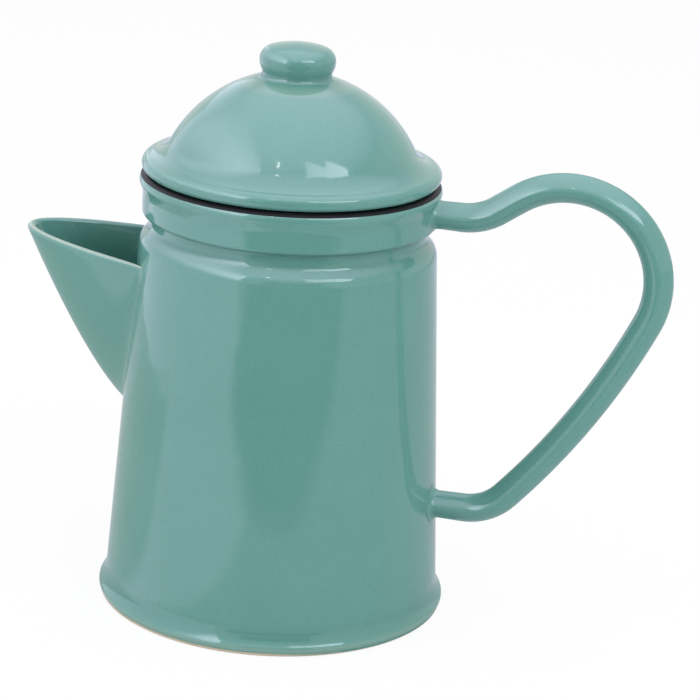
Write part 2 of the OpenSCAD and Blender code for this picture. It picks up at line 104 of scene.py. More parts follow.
# Handle: the upper root's flare is a share of the lower one's, on the sides of the lip and the groove
HANDLE_W = 10.8
HANDLE_ROOT_W = 10.4
HANDLE_D = 12.5
HANDLE_DROP = 8.3
HANDLE_TOP_Z = RIM_Z - HANDLE_DROP
HANDLE_BOTTOM_Z = 42.7
UPPER_LEAD = 10
UPPER_BEND_R = 22
CROSS_ANGLE = 35.5
CROSS_RUN = 8.5
ARCH_R = 33.1
BOW_R = 280
LOWER_LEAD = 11.4
LOWER_BEND_R = 20
ROOT_FLARE = 2.4
ROOT_SINK = 3
LIP_SIDE_FLARE = 0.1
GROOVE_SIDE_FLARE = 0.45

# Lid and knob
SEAT_GAP = 0.2
DOME_H = 37.8
BRIM_STEP = 0.6
BRIM_R = LIP_R - BRIM_STEP
BRIM_ROUND = 2.8
BRIM_FILLET = 11
DOME_STEP = 4.1
DOME_R = BRIM_R - DOME_STEP
LID_WALL = 4.2
SKIRT_H = 11
SKIRT_T = 3.6
SKIRT_GAP = 0.6
SKIRT_ROUND = 1.2
KNOB_R = 13.7
KNOB_H = 10.7
KNOB_HOLLOW = 2
KNOB_ROUND = 4.8
KNOB_TAPER = 8
KNOB_CROWN_H = 6.1

# How the glaze lies: thin and pale below 0, pooled and dark above it, with painted shade and highlight in
# places
BEAD_GLAZE = -0.25
FILLET_GLAZE = 0.15
GROOVE_GLAZE = 0.15
# The crease is darkened for pooled glaze and painted shade, the collar's rounded underside for painted shade
# only
CREASE_POOL_AND_SHADE = 1.6
COLLAR_UNDER_SHADE = 0.8
CORNER_GLAZE = 0.4
# The spout's edge is painted pale for thin glaze and a painted highlight; its inside is darkened for pooled
# glaze and painted shade
BEAK_EDGE_THIN_AND_HIGHLIGHT = -0.9
BEAK_INSIDE_POOL_AND_SHADE = 0.9
SKIRT_GLAZE = -0.4
BRIM_GLAZE = 0.12
CROWN_GLAZE = -0.18
NECK_GLAZE = 0.3


def toward(angle, length):
    """The step at that angle, in degrees, over a length."""
    return Vector((cos(radians(angle)), sin(radians(angle)))) * length


def heading(a, b):
    """The direction from a to b, in degrees."""
    return degrees(atan2(b[1] - a[1], b[0] - a[0]))


def leg(hypotenuse, other):
    """The third side of a right triangle."""
    return sqrt(hypotenuse * hypotenuse - other * other)


def meet(c1, d1, c2, d2, side):
    """The point at distance d1 from c1 and d2 from c2, left (1) or right (-1) of the way from c1 to c2."""
    way = c2 - c1
    forward = (d1 * d1 - d2 * d2 + way.length_squared) / (2 * way.length)
    across = Vector((-way.y, way.x)).normalized()
    return c1 + forward * way.normalized() + side * leg(d1, forward) * across


def bent(share, power):
    """A share from -1 to 1, raised to a power with its sign kept."""
    return copysign(abs(share) ** power, share)


def wall_r(z):
    """The outer radius of the pot's straight wall at height z."""
    return WALL_BASE_R + (SHOULDER_R - WALL_BASE_R) * z / SHOULDER_Z


# Camera, where the photograph was taken from

CAMERA_AZIMUTH = radians(12.5)
CAMERA_ELEVATION = radians(17.81)
CAMERA_ROLL = radians(3.45)
CAMERA_DISTANCE = 1.003
CAMERA_AIM_RIGHT = 0.02476
CAMERA_AIM_UP = 0.0959
CAMERA_LENS = 140.04
SENSOR = 36

view_right = Vector((cos(CAMERA_AZIMUTH), sin(CAMERA_AZIMUTH), 0))
view_away = Vector((-sin(CAMERA_AZIMUTH), cos(CAMERA_AZIMUTH), 0))
up = Vector((0, 0, 1))


def in_view(right, away, height):
    """A point to the right of, behind and above the pot's foot, as the camera sees it."""
    return right * view_right + away * view_away + height * up


def add_camera():
    camera = bpy.data.cameras.new("camera")
    camera.lens = CAMERA_LENS
    camera.sensor_width = SENSOR
    holder = bpy.data.objects.new("camera", camera)
    scene.collection.objects.link(holder)
    back = -cos(CAMERA_ELEVATION) * view_away + sin(CAMERA_ELEVATION) * up
    camera_up = sin(CAMERA_ELEVATION) * view_away + cos(CAMERA_ELEVATION) * up
    x_axis = cos(CAMERA_ROLL) * view_right + sin(CAMERA_ROLL) * camera_up
    y_axis = cos(CAMERA_ROLL) * camera_up - sin(CAMERA_ROLL) * view_right
    turn = Matrix((x_axis, y_axis, back)).transposed().to_4x4()
    aim = in_view(CAMERA_AIM_RIGHT, 0, CAMERA_AIM_UP)
    holder.matrix_world = Matrix.Translation(aim + CAMERA_DISTANCE * back) @ turn
    scene.camera = holder


add_camera()


# Shaders


class Shade:
    """A shader socket that takes part in sums, and one method that adds any other node."""

    def __init__(self, tree, socket=None):
        self.tree = tree
        self.socket = socket

    def node(self, kind, inputs, out=0, **settings):
        """Adds a node: its settings first, then its sockets' values or links. Returns the named output."""
        made = self.tree.nodes.new("ShaderNode" + kind)
        for name, value in settings.items():
            setattr(made, name, value)
        for name, value in inputs.items():
            if isinstance(value, Shade):
                self.tree.links.new(value.socket, made.inputs[name])
            else:
                made.inputs[name].default_value = value
        return Shade(self.tree, made.outputs[out])

    def math(self, operation, a, b, clamp=False):
        return self.node("Math", {0: a, 1: b}, operation=operation, use_clamp=clamp)

    def __add__(self, other):
        return self.math("ADD", self, other)

    __radd__ = __add__

    def __sub__(self, other):
        return self.math("SUBTRACT", self, other)

    def __rsub__(self, other):
        return self.math("SUBTRACT", other, self)

    def __mul__(self, other):
        return self.math("MULTIPLY", self, other)

    __rmul__ = __mul__

    def __truediv__(self, other):
        return self.math("DIVIDE", self, other)

    def __pow__(self, other):
        return self.math("POWER", self, other)

    def clamped(self):
        """Held between 0 and 1."""
        return self.math("ADD", self, 0, clamp=True)

    def ramp(self, zero, one):
        """0 at one value, 1 at the other, straight between them and level beyond."""
        return ((self - zero) / (one - zero)).clamped()

    def swing(self, amount):
        """Noise about 0.5, made that much stronger and set about 0."""
        return (self - 0.5) * amount

    def mix(self, share, a, b):
        """A colour between a and b."""
        return self.node("Mix", {0: share, 6: a, 7: b}, out=2, data_type="RGBA")

    def noise(self, place, scale, detail=2, roughness=0.5):
        """Soft noise about 0.5, with features about 1/scale metres across."""
        inputs = {"Vector": place, "Scale": scale, "Detail": detail, "Roughness": roughness}
        return self.node("TexNoise", inputs)

    def bump(self, height, strength, distance):
        """A normal from a height between 0 and 1, of that distance in metres."""
        return self.node("Bump", {"Height": height, "Strength": strength, "Distance": distance})


def new_material(name):
    """A material with an empty tree, and the shade that fills it."""
    material = bpy.data.materials.new(name)
    material.use_nodes = True
    material.node_tree.nodes.clear()
    return material, Shade(material.node_tree)


def show(shade, surface, kind="Material"):
    """Makes a shader the surface of a material, or of the world."""
    output = shade.tree.nodes.new("ShaderNodeOutput" + kind)
    shade.tree.links.new(surface.socket, output.inputs["Surface"])


def object_place(shade):
    return shade.node("TexCoord", {}, out="Object")


def along(shade, axis):
    """How far a point lies along an axis, in metres."""
    return shade.node("VectorMath", {0: object_place(shade), 1: axis}, out="Value", operation="DOT_PRODUCT")


def dimmed(colour, share):
    return tuple(share * channel for channel in colour[:3]) + (1,)


# Finishes

MINT = (0.118, 0.291, 0.261, 1)
MINT_DEEP = (0.103, 0.267, 0.237, 1)
# Pooled glaze with painted shade, and thin glaze with painted highlight
MINT_POOL_AND_SHADE = (0.042, 0.150, 0.130, 1)
MINT_THIN_AND_HIGHLIGHT = (0.40, 0.47, 0.38, 1)
BLACK = (0.005, 0.005, 0.006, 1)
BLACK_BROWN = (0.010, 0.009, 0.009, 1)
CLAY = (0.50, 0.41, 0.30, 1)
CLAY_PALE = (0.60, 0.51, 0.39, 1)
CLAY_GRIT = (0.40, 0.29, 0.18, 1)
DRAWN_METAL = (0.36, 0.365, 0.375, 1)
SPUN_METAL = (0.40, 0.403, 0.408, 1)
METAL_DULL = 0.62


def make_mint_glaze():
    """Glossy mint glaze: a little uneven in depth, pooled dark in hollows and thin and pale over edges.
    Painted shade darkens the crease, the collar's underside and the spout's inside, and a painted highlight
    lightens the spout's edge.
    """
    material, shade = new_material("mint_glaze")
    place = object_place(shade)
    depth = shade.node("Attribute", {}, out="Fac", attribute_name="glaze_and_painted_light")
    clouds = shade.noise(place, scale=45, detail=3)
    grain = shade.noise(place, scale=900)
    ripple = shade.noise(place, scale=70, detail=1)
    uneven = (clouds.swing(1.2) + grain.swing(1.6) + 0.3).clamped()
    # The pale mask holds thin glaze and the spout edge's painted highlight, the dark mask pooled glaze and
    # painted shade
    thin = ((0 - depth) * (1 + grain.swing(0.25))).clamped()
    colour = shade.mix(uneven, MINT, MINT_DEEP)
    colour = shade.mix(depth.clamped(), colour, MINT_POOL_AND_SHADE)
    colour = shade.mix(thin, colour, MINT_THIN_AND_HIGHLIGHT)
    surface = shade.node("BsdfPrincipled", {
        "Base Color": colour,
        "Roughness": 0.06 + 0.05 * clouds,
        "IOR": 1.5,
        "Normal": shade.bump(ripple, strength=0.12, distance=0.0012),
    })
    show(shade, surface)
    return material


def make_black_glaze():
    """Satin black glaze on the pot's lip, a little brown where it is thin."""
    material, shade = new_material("black_glaze")
    place = object_place(shade)
    clouds = shade.noise(place, scale=60, detail=3)
    grain = shade.noise(place, scale=1100)
    thin = (clouds.swing(1.5) + grain.swing(1) + 0.15).clamped()
    surface = shade.node("BsdfPrincipled", {
        "Base Color": shade.mix(thin, BLACK, BLACK_BROWN),
        "Roughness": 0.4 + 0.1 * clouds,
        "Specular IOR Level": 0.12,
        "Normal": shade.bump(clouds, strength=0.15, distance=0.0008),
    })
    show(shade, surface)
    return material


# Where glaze has run over the clay, in metres: towards the handle, and down from the glazed edge
RUN_FADE = 0.03
RUN_LOW = 0.0003
RUN_FULL = 0.0005


def make_bare_clay():
    """Unglazed cream clay with fine grit, with glaze run over its upper edge on the handle's side."""
    material, shade = new_material("bare_clay")
    place = object_place(shade)
    clouds = shade.noise(place, scale=120, detail=4)
    grit = shade.noise(place, scale=2600)
    run = (along(shade, view_right) / RUN_FADE + clouds.swing(1.5)).clamped()
    edge = along(shade, up).ramp(RUN_LOW, RUN_FULL)
    colour = shade.mix(clouds, CLAY, CLAY_PALE)
    colour = shade.mix(grit.ramp(0.62, 0.787), colour, CLAY_GRIT)
    colour = shade.mix(run * edge, colour, MINT_DEEP)
    surface = shade.node("BsdfPrincipled", {
        "Base Color": colour,
        "Roughness": 0.78 + 0.15 * grit,
        "Normal": shade.bump(grit, strength=0.5, distance=0.0002),
    })
    show(shade, surface)
    return material


# Radius, in metres, at which lines along the axis are spaced
LINE_R = 0.006


def make_aluminium(name, lines, bright):
    """Worked aluminium. Its fine lines run round the axis ("round"), or along it ("along")."""
    material, shade = new_material(name)
    place = object_place(shade)
    flat = shade.node("VectorMath", {0: place, 1: (1, 1, 0)}, operation="MULTIPLY")
    if lines == "round":
        reach = shade.node("VectorMath", {0: flat}, out="Value", operation="LENGTH")
        course = shade.node("CombineXYZ", {"X": reach, "Y": along(shade, up)})
    else:
        course = shade.node("VectorMath", {0: flat}, operation="NORMALIZE")
        course = shade.node("VectorMath", {0: course, "Scale": LINE_R}, operation="SCALE")
    scratch = shade.noise(course, scale=2600, detail=3, roughness=0.7)
    bands = shade.noise(course, scale=300)
    stain = shade.noise(place, scale=55, detail=4)
    worn = (scratch.swing(0.9) + stain.swing(0.8) + 0.205).clamped()
    surface = shade.node("BsdfPrincipled", {
        "Base Color": shade.mix(worn, bright, dimmed(bright, METAL_DULL)),
        "Metallic": 1.0,
        "Roughness": 0.22 + 0.14 * bands + 0.12 * stain,
        "Normal": shade.bump(scratch, strength=0.25, distance=0.00006),
    })
    show(shade, surface)
    return material


mint_glaze = make_mint_glaze()
black_glaze = make_black_glaze()
bare_clay = make_bare_clay()
pump_metal = make_aluminium("pump_metal", "along", DRAWN_METAL)
basket_metal = make_aluminium("basket_metal", "round", SPUN_METAL)


# Stage: a pale floor, a white world, lamps that light the pot, and cards that only its gloss shows

WHITE = (1, 1, 1, 1)
COOL = (0.95, 0.97, 1.15, 1)
SKY = (0.97, 0.99, 1.0, 1)
SKY_LIGHT = 0.8
PAPER = (0.9, 0.9, 0.9, 1)
PAPER_HALF_W = 4000
PAPER_DROP = 0.2

# Shares of the floor that glow by themselves, to the camera and in gloss, and how bright gloss shows it
PAPER_GLOW = 0.9
PAPER_GLOSS = 0.6
PAPER_GLOSS_LIT = 0.5


def seen_rays(shade, camera=1, gloss=1):
    """How far a ray takes the background's own glow: from the camera, or off gloss and through glass."""
    share = {"Camera": camera, "Glossy": gloss, "Transmission": gloss}
    rays = [share[kind] * shade.node("LightPath", {}, out=f"Is {kind} Ray") for kind in share]
    return (rays[0] + rays[1] + rays[2]).clamped()


def light_world():
    world = bpy.data.worlds.new("studio")
    scene.world = world
    world.use_nodes = True
    world.node_tree.nodes.clear()
    shade = Shade(world.node_tree)
    lit = shade.node("Background", {"Color": SKY, "Strength": SKY_LIGHT})
    seen = shade.node("Background", {"Color": WHITE, "Strength": 1.0})
    show(shade, shade.node("MixShader", {0: seen_rays(shade), 1: lit, 2: seen}), "World")


def to_object(bm, name, material):
    """A mesh object from a bmesh drawn in millimetres."""
    bmesh.ops.scale(bm, vec=(MM, MM, MM), verts=bm.verts)
    mesh = bpy.data.meshes.new(name)
    bm.to_mesh(mesh)
    bm.free()
    mesh.materials.append(material)
    made = bpy.data.objects.new(name, mesh)
    scene.collection.objects.link(made)
    return made


def add_floor():
    bm = bmesh.new()
    bmesh.ops.create_grid(bm, x_segments=1, y_segments=1, size=PAPER_HALF_W)
    bmesh.ops.translate(bm, vec=(0, 0, -PAPER_DROP), verts=bm.verts)
    material, shade = new_material("floor")
    paper = shade.node("BsdfDiffuse", {"Color": PAPER})
    tint = shade.mix(seen_rays(shade, 1, 0), dimmed(COOL, PAPER_GLOSS_LIT), WHITE)
    glow = shade.node("Emission", {"Color": tint})
    show(shade, shade.node("MixShader", {0: seen_rays(shade, PAPER_GLOW, PAPER_GLOSS), 1: paper, 2: glow}))
    floor = to_object(bm, "floor", material)


def add_softbox(name, place, aim, size, radiance):
    """A soft rectangular lamp at a place, facing aim, whose face is that bright. Gloss doesn't show it."""
    lamp = bpy.data.lights.new(name, "AREA")
    lamp.shape = "RECTANGLE"
    lamp.size, lamp.size_y = size
    lamp.energy = radiance * pi * size[0] * size[1]
    holder = bpy.data.objects.new(name, lamp)
    scene.collection.objects.link(holder)
    holder.location = place
    holder.rotation_euler = (aim - place).to_track_quat("-Z", "Y").to_euler()
    holder.visible_glossy = False


def add_card(name, corners, glow, colour=WHITE, rounding=0, fade=0, top=None):
    """A flat card with its corners in view, in millimetres. Only gloss shows it, as bright as glow, which is
    a number or a function of the shade. Its first corner may be rounded. Its edges may fade over a width, and
    its top between two heights in metres."""
    bm = bmesh.new()
    cover = bm.verts.layers.float.new("cover")
    verts = [bm.verts.new(in_view(*corner)) for corner in corners]
    bmesh.ops.contextual_create(bm, geom=verts)
    if rounding:
        bmesh.ops.bevel(
            bm, geom=verts[:1], offset=rounding, segments=10, profile=0.5, affect="VERTICES", material=-1)
    inner = bm.faces[:]
    if fade:
        bmesh.ops.inset_region(bm, faces=inner, thickness=fade, use_even_offset=True, use_boundary=True)
    for vert in {v for face in inner for v in face.verts}:
        vert[cover] = 1
    material, shade = new_material(name)
    level = glow(shade) if callable(glow) else glow
    bright = shade.node("VectorMath", {0: colour[:3], "Scale": level}, operation="SCALE")
    shine = shade.node("Emission", {"Color": bright})
    clear = shade.node("BsdfTransparent", {})
    share = shade.node("Attribute", {}, out="Fac", attribute_name="cover")
    if top:
        share = share * along(shade, up).ramp(top[1], top[0])
    show(shade, shade.node("MixShader", {0: share, 1: clear, 2: shine}))
    card = to_object(bm, name, material)
    card.visible_camera = False
    card.visible_diffuse = False
    card.visible_shadow = False
    card.visible_transmission = False


def lying(height, *places):
    """The corners of a level card, from their places to the right and away."""
    return [(right, away, height) for right, away in places]


def beside(right, *places):
    """The corners of an upright card along the pot's side, from their places away and up."""
    return [(right, away, height) for away, height in places]


def facing(away, left, right, low, high):
    """The corners of an upright card across the view."""
    return [(left, away, low), (right, away, low), (right, away, high), (left, away, high)]


def window_glow(shade):
    """Brighter to the right."""
    return 5 + 3 * along(shade, view_right).ramp(0.25, 0.85)


def panel_glow(shade):
    """Dim at its foot, and brighter towards the front."""
    front = 0.2 + 5 * along(shade, view_away).ramp(0.35, -0.45)
    return 1.55 + front * along(shade, up).ramp(0.25, 0.41)


# Height of the ceiling in millimetres, and reach of its glow in metres
OVERHEAD_Z = 1200
OVERHEAD_REACH = 1.5
overhead_middle = in_view(0, -0.15, OVERHEAD_Z * MM)


def overhead_glow(shade):
    """Brightest over the pot, and like the world at its edge."""
    ends = {0: object_place(shade), 1: overhead_middle}
    away = shade.node("VectorMath", ends, out="Value", operation="DISTANCE")
    return 1 + 1.9 * (1 - (away / OVERHEAD_REACH) ** 2).clamped()


light_world()
add_floor()
middle = in_view(0, 0, 0.1)
add_softbox("key_softbox", in_view(0.56, -0.72, 0.93), middle, size=(0.7, 0.4), radiance=4.6)
add_softbox("top_softbox", in_view(0, 0.1, 1.2), middle, size=(1.4, 1.4), radiance=0.6)
add_softbox("left_softbox", in_view(-0.8, -0.2, 0.5), middle, size=(0.8, 0.8), radiance=0.95)

# Bright: a skewed window at the upper right, a slit at the upper left, a panel at the left with a brighter
# edge and a lit foot, and a ceiling
add_card("window", ((220, -720, 1140), (530, -590, 1110), (550, -700, 1020), (850, -460, 930),
                    (890, -620, 750), (310, -990, 850)), window_glow, COOL)
add_card("side_window", ((-219, -747, 1126), (-191, -747, 1126), (-202, -838, 1040), (-230, -838, 1040)),
         glow=18)
add_card("left_panel", beside(-400, (-634, 0), (-634, 650), (-565, 1000), (1800, 1000),
                              (1800, 400), (600, 400), (600, 0)), panel_glow, COOL, top=(0.55, 0.95))
add_card("left_panel_edge", beside(-399, (-634, 450), (-634, 800), (-580, 800), (-580, 450)),
         glow=9, colour=COOL, fade=15)
add_card("left_panel_foot", lying(0.1, (-55, -660), (-420, -660), (-420, -50), (-55, -10)),
         glow=1.5, colour=COOL, fade=20)
add_card("overhead", lying(OVERHEAD_Z, (-1500, -1350), (1500, -1350), (1500, 1650), (-1500, 1650)),
         overhead_glow, COOL)

# Dim: the floor under the spout and behind the pot
add_card("spout_shade", lying(0.2, (-80, 0), (-380, -20), (-380, 200), (-80, 200)), glow=0.65, fade=30)
add_card("back_floor", lying(0.2, (-900, 300), (900, 300), (900, 2500), (-900, 2500)),
         glow=0.85, colour=COOL, fade=200)

# Dark: the floor in front of the pot, and the room behind the camera
add_card("dark_front", lying(0.3, (0, -175), (560, -540), (1100, -900), (1100, -1600),
                             (-700, -1600), (-380, -700), (-310, -430)), glow=0, rounding=120, fade=50)
add_card("dark_wall", facing(-1500, left=-750, right=1150, low=0, high=330), glow=0, fade=80)
add_card("dark_lens", facing(-1490, left=-500, right=900, low=300, high=900), glow=0, fade=120)


# Modelling helpers

# Steps round a turned piece, and the distance within which points are joined
SIDES = 192
JOIN = 0.0005

# Faces that meet at more than this angle keep a crisp edge
CRISP = 40

# Ways to turn in a profile, with radius to the right and height up
ANTICLOCKWISE = 1
CLOCKWISE = -1


class Profile:
    """A line drawn in the plane y = 0 with arcs and straight runs, and then turned round the pot's axis."""

    def __init__(self, r, z):
        self.bm = bmesh.new()
        self.depth = self.bm.verts.layers.float.new("glaze_and_painted_light")
        self.tip = self.bm.verts.new((r, 0, z))

    def line(self, r, z, steps=1):
        """Runs straight on to a point."""
        start = self.tip.co.copy()
        for i in range(1, steps + 1):
            made = bmesh.ops.extrude_vert_indiv(self.bm, verts=[self.tip])
            self.tip = made["verts"][0]
            self.tip.co = start.lerp(Vector((r, 0, z)), i / steps)

    def arc(self, centre, end, turn, steps=12, depth=0):
        """Turns one way round a centre to an angle in degrees. The glaze mark, which in places also carries
        painted shade, reaches its depth halfway.
        """
        start = heading(centre, (self.tip.co.x, self.tip.co.z))
        sweep = turn * ((turn * (end - start)) % 360)
        bmesh.ops.spin(
            self.bm, geom=[self.tip], cent=(centre[0], 0, centre[1]), axis=(0, -1, 0),
            angle=radians(sweep), steps=steps)
        self.bm.verts.ensure_lookup_table()
        course = self.bm.verts[-steps:]
        for i, vert in enumerate(course, 1):
            vert[self.depth] = depth * sin(pi * i / steps)
        self.tip = course[-1]

    def turned(self):
        """The closed surface that the line sweeps round the axis."""
        bmesh.ops.spin(
            self.bm, geom=self.bm.verts[:] + self.bm.edges[:], cent=(0, 0, 0), axis=(0, 0, 1),
            angle=2 * pi, steps=SIDES, use_merge=True)
        bmesh.ops.remove_doubles(self.bm, verts=self.bm.verts, dist=JOIN)
        bmesh.ops.recalc_face_normals(self.bm, faces=self.bm.faces)
        return self.bm


def add_piece(bm, name, material, body, slot, *nodes):
    """Puts a finished mesh in the scene in place of the solids that it stands for."""
    made = to_object(bm, name, material)
    for face in made.data.polygons:
        face.use_smooth = True
    made.data.set_sharp_from_angle(angle=radians(CRISP))
    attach(made, body)
    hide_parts(*nodes)


# Pot: centres of the rounded stretches, each tangent to the next

wall_tilt = degrees(atan((WALL_BASE_R - SHOULDER_R) / SHOULDER_Z))
bead_start = toward(BEAD_START, FOOT_BEAD)
bead_c = Vector((FOOT_R - FOOT_BEAD, CLAY_H - bead_start.y))
clay_r = bead_c.x + bead_start.x
foot_in_r = clay_r - FOOT_W
fillet_r = wall_r(bead_c.y + FOOT_FILLET) + FOOT_FILLET
fillet_c = Vector((fillet_r, bead_c.y + leg(FOOT_BEAD + FOOT_FILLET, fillet_r - bead_c.x)))
shoulder_z = SHOULDER_Z - SHOULDER_LOW
shoulder_c = Vector((wall_r(shoulder_z) - SHOULDER_ROUND, shoulder_z))
slope_end = shoulder_c + toward(SHOULDER_SLOPE, SHOULDER_ROUND) + toward(SHOULDER_SLOPE + 90, SHOULDER_RUN)
groove_c = slope_end + toward(SHOULDER_SLOPE, GROOVE_ROUND)
crease_c = groove_c + Vector((CREASE_ROUND - GROOVE_ROUND, GROOVE_RISE))
collar_cr = COLLAR_R - COLLAR_ROUND
collar_c = Vector((collar_cr, crease_c.y + leg(CREASE_ROUND + COLLAR_ROUND, crease_c.x - collar_cr)))
lip_c = Vector((LIP_R - LIP_ROUND, RIM_Z - LIP_ROUND))
flare_cr = COLLAR_R + LIP_FLARE
flare_c = Vector((flare_cr, lip_c.y - leg(LIP_FLARE + LIP_ROUND, flare_cr - lip_c.x)))
mouth_r = lip_c.x - LIP_ROUND
band_angle = degrees(asin((LIP_ROUND - BAND_H) / LIP_ROUND))
throat_low_c = Vector((SHOULDER_R - WALL - THROAT_SHOULDER, SHOULDER_Z))
throat_cr = THROAT_R + THROAT_ROUND
throat_c = Vector((throat_cr, SHOULDER_Z + leg(THROAT_ROUND + THROAT_SHOULDER, throat_cr - throat_low_c.x)))
throat_top = degrees(acos((throat_c.x - mouth_r) / THROAT_ROUND))
floor_corner = Vector((wall_r(FLOOR_Z + FLOOR_ROUND) - WALL - FLOOR_ROUND, FLOOR_Z + FLOOR_ROUND))

WALL_STEPS = 40


def pot_profile():
    """From the middle of the recess under the floor, up the outside, over the lip and down the inside."""
    line = Profile(0, RECESS_H)
    line.line(foot_in_r, RECESS_H, steps=4)
    line.line(foot_in_r, CLAY_H)
    line.line(*(bead_c + bead_start), steps=2)
    line.arc(bead_c, heading(bead_c, fillet_c), ANTICLOCKWISE, depth=BEAD_GLAZE)
    line.arc(fillet_c, 180, CLOCKWISE, steps=16, depth=FILLET_GLAZE)
    line.line(*(shoulder_c + toward(wall_tilt, SHOULDER_ROUND)), steps=WALL_STEPS)
    line.arc(shoulder_c, SHOULDER_SLOPE, ANTICLOCKWISE, steps=16)
    line.line(*slope_end)
    line.arc(groove_c, 180, CLOCKWISE, steps=16, depth=GROOVE_GLAZE)
    line.line(crease_c.x - CREASE_ROUND, crease_c.y)
    # Painted shade: the crease darkens for pooled glaze and shade, the collar's rounded underside for shade
    # alone
    line.arc(crease_c, heading(crease_c, collar_c), CLOCKWISE, steps=8, depth=CREASE_POOL_AND_SHADE)
    line.arc(collar_c, 0, ANTICLOCKWISE, depth=COLLAR_UNDER_SHADE)
    line.line(COLLAR_R, flare_c.y, steps=2)
    line.arc(flare_c, heading(flare_c, lip_c), CLOCKWISE, steps=8)
    line.arc(lip_c, 180, ANTICLOCKWISE, steps=24)
    line.line(*(throat_c + toward(180 - throat_top, THROAT_ROUND)))
    line.arc(throat_c, heading(throat_c, throat_low_c), ANTICLOCKWISE)
    line.arc(throat_low_c, wall_tilt, CLOCKWISE, steps=10)
    line.line(floor_corner.x + FLOOR_ROUND, floor_corner.y, steps=WALL_STEPS)
    line.arc(floor_corner, -90, CLOCKWISE, steps=14, depth=CORNER_GLAZE)
    line.line(0, FLOOR_Z, steps=6)
    return line


def cut_away(bm, cutters):
    """What is left of a closed shape once the closed cutters are taken out of it."""
    holders = []
    for part in (bm, cutters):
        mesh = bpy.data.meshes.new("cut")
        part.to_mesh(mesh)
        part.free()
        holders.append(bpy.data.objects.new("cut", mesh))
        scene.collection.objects.link(holders[-1])
    whole, tool = holders
    cut = whole.modifiers.new("cut", "BOOLEAN")
    cut.operation = "DIFFERENCE"
    cut.solver = "EXACT"
    cut.object = tool
    left = bmesh.new()
    left.from_object(whole, bpy.context.evaluated_depsgraph_get())
    for holder in holders:
        mesh = holder.data
        bpy.data.objects.remove(holder)
        bpy.data.meshes.remove(mesh)
    return left


PIN_SIDES = 32


def strainer_pins():
    """Pins along X that pierce the wall behind the spout, in rows that widen upwards."""
    bm = bmesh.new()
    top_row = SPOUT_TOP_Z - SPOUT_WALL - STRAINER_PITCH
    across = Matrix.Rotation(pi / 2, 4, "Y")
    for row in range(STRAINER_ROWS):
        for k in range(row + 1):
            place = Vector((-wall_r(SPOUT_BASE_Z), (k - row / 2) * STRAINER_PITCH,
                            top_row - (STRAINER_ROWS - 1 - row) * STRAINER_PITCH))
            bmesh.ops.create_cone(
                bm, cap_ends=True, segments=PIN_SIDES, radius1=STRAINER_D / 2, radius2=STRAINER_D / 2,
                depth=WALL_BASE_R / 2, matrix=Matrix.Translation(place) @ across)
    return bm


add_piece(cut_away(pot_profile().turned(), strainer_pins()),
          "pot_shell", mint_glaze, "pot", "mint_glaze", "pot_body")


def black_lip():
    """The black edge over the lip, a hair proud of the pot."""
    start = lip_c + toward(band_angle, LIP_ROUND + BAND_PROUD)
    line = Profile(*start)
    line.arc(lip_c, 180 - band_angle, ANTICLOCKWISE, steps=28)
    line.line(*start, steps=4)
    return line


add_piece(black_lip().turned(), "black_lip", black_glaze, "pot", "black_glaze", "rim_band")


def clay_foot():
    """The bare ring that the pot stands on."""
    in_c = Vector((foot_in_r + CLAY_ROUND, CLAY_ROUND))
    out_c = Vector((clay_r - CLAY_ROUND, CLAY_ROUND))
    line = Profile(clay_r, CLAY_H)
    line.line(foot_in_r, CLAY_H, steps=2)
    line.line(foot_in_r, CLAY_ROUND)
    line.arc(in_c, 270, ANTICLOCKWISE, steps=6)
    line.line(out_c.x, 0, steps=3)
    line.arc(out_c, 0, ANTICLOCKWISE, steps=6)
    line.line(clay_r, CLAY_H)
    return line


add_piece(clay_foot().turned(), "clay_foot", bare_clay, "pot", "bare_clay", "foot_ring")


# Spout: at a share t of its height it stands out of the wall as a rounded tent over an angle

SPOUT_STEPS = 40
SPOUT_SIDES = 64
EDGE_STEPS = 10

# Powers that bow the keel, the edge of the root and the sides, and that crowd the grid's rows and columns
KEEL_POWER = 0.8
ROOT_POWER = 0.5
SIDE_POWER = 1.7
ROW_POWER = 1.5
COLUMN_POWER = 1.2

KEEL_SOFTNESS = 0.27
SPOUT_SINK = 0.15

# Thickness of the trough's sole, in walls
SPOUT_SOLE = 2

# Where the glaze thins and a highlight is painted, as a share of the way over the edge, and how pooled glaze
# and painted shade deepen below the edge
PALE_AT = 0.35
PALE_WIDTH = 0.12
POOL_AND_SHADE_POWER = 6

spout_angle = asin(SPOUT_HALF_W / wall_r(SPOUT_TOP_Z))


def soft(v):
    """Rises from 0 at the keel to 1 at the side, rounded at the keel."""
    return (hypot(v, KEEL_SOFTNESS) - KEEL_SOFTNESS) / (hypot(1, KEEL_SOFTNESS) - KEEL_SOFTNESS)


def beak(t, v, base_z, reach, half_angle):
    """A point of a beak at height share t and side share v from -1 to 1."""
    out = reach * t ** KEEL_POWER * (1 - soft(v)) ** SIDE_POWER
    z = base_z + t * (SPOUT_TOP_Z - base_z) + t * SPOUT_RISE * out / SPOUT_REACH
    angle = pi + v * half_angle * t ** ROOT_POWER
    r = wall_r(z) - SPOUT_SINK + out
    return Vector((r * cos(angle), r * sin(angle), z))


def outer_beak(t, v):
    return beak(t, v, SPOUT_BASE_Z, SPOUT_REACH, spout_angle)


def inner_beak(t, v):
    return beak(t, v, SPOUT_BASE_Z + SPOUT_SOLE * SPOUT_WALL, SPOUT_REACH - SPOUT_WALL,
                spout_angle * (1 - SPOUT_WALL / SPOUT_HALF_W))


def beak_edge(k, v):
    """The rounded edge from the outside (k 0) to the inside (k 1) at the top of the beak."""
    outside = outer_beak(1, v)
    inside = inner_beak(1, v)
    crown = SPOUT_WALL / 2 * sin(pi * k) * up
    return (outside + inside) / 2 + (outside - inside) / 2 * cos(pi * k) + crown


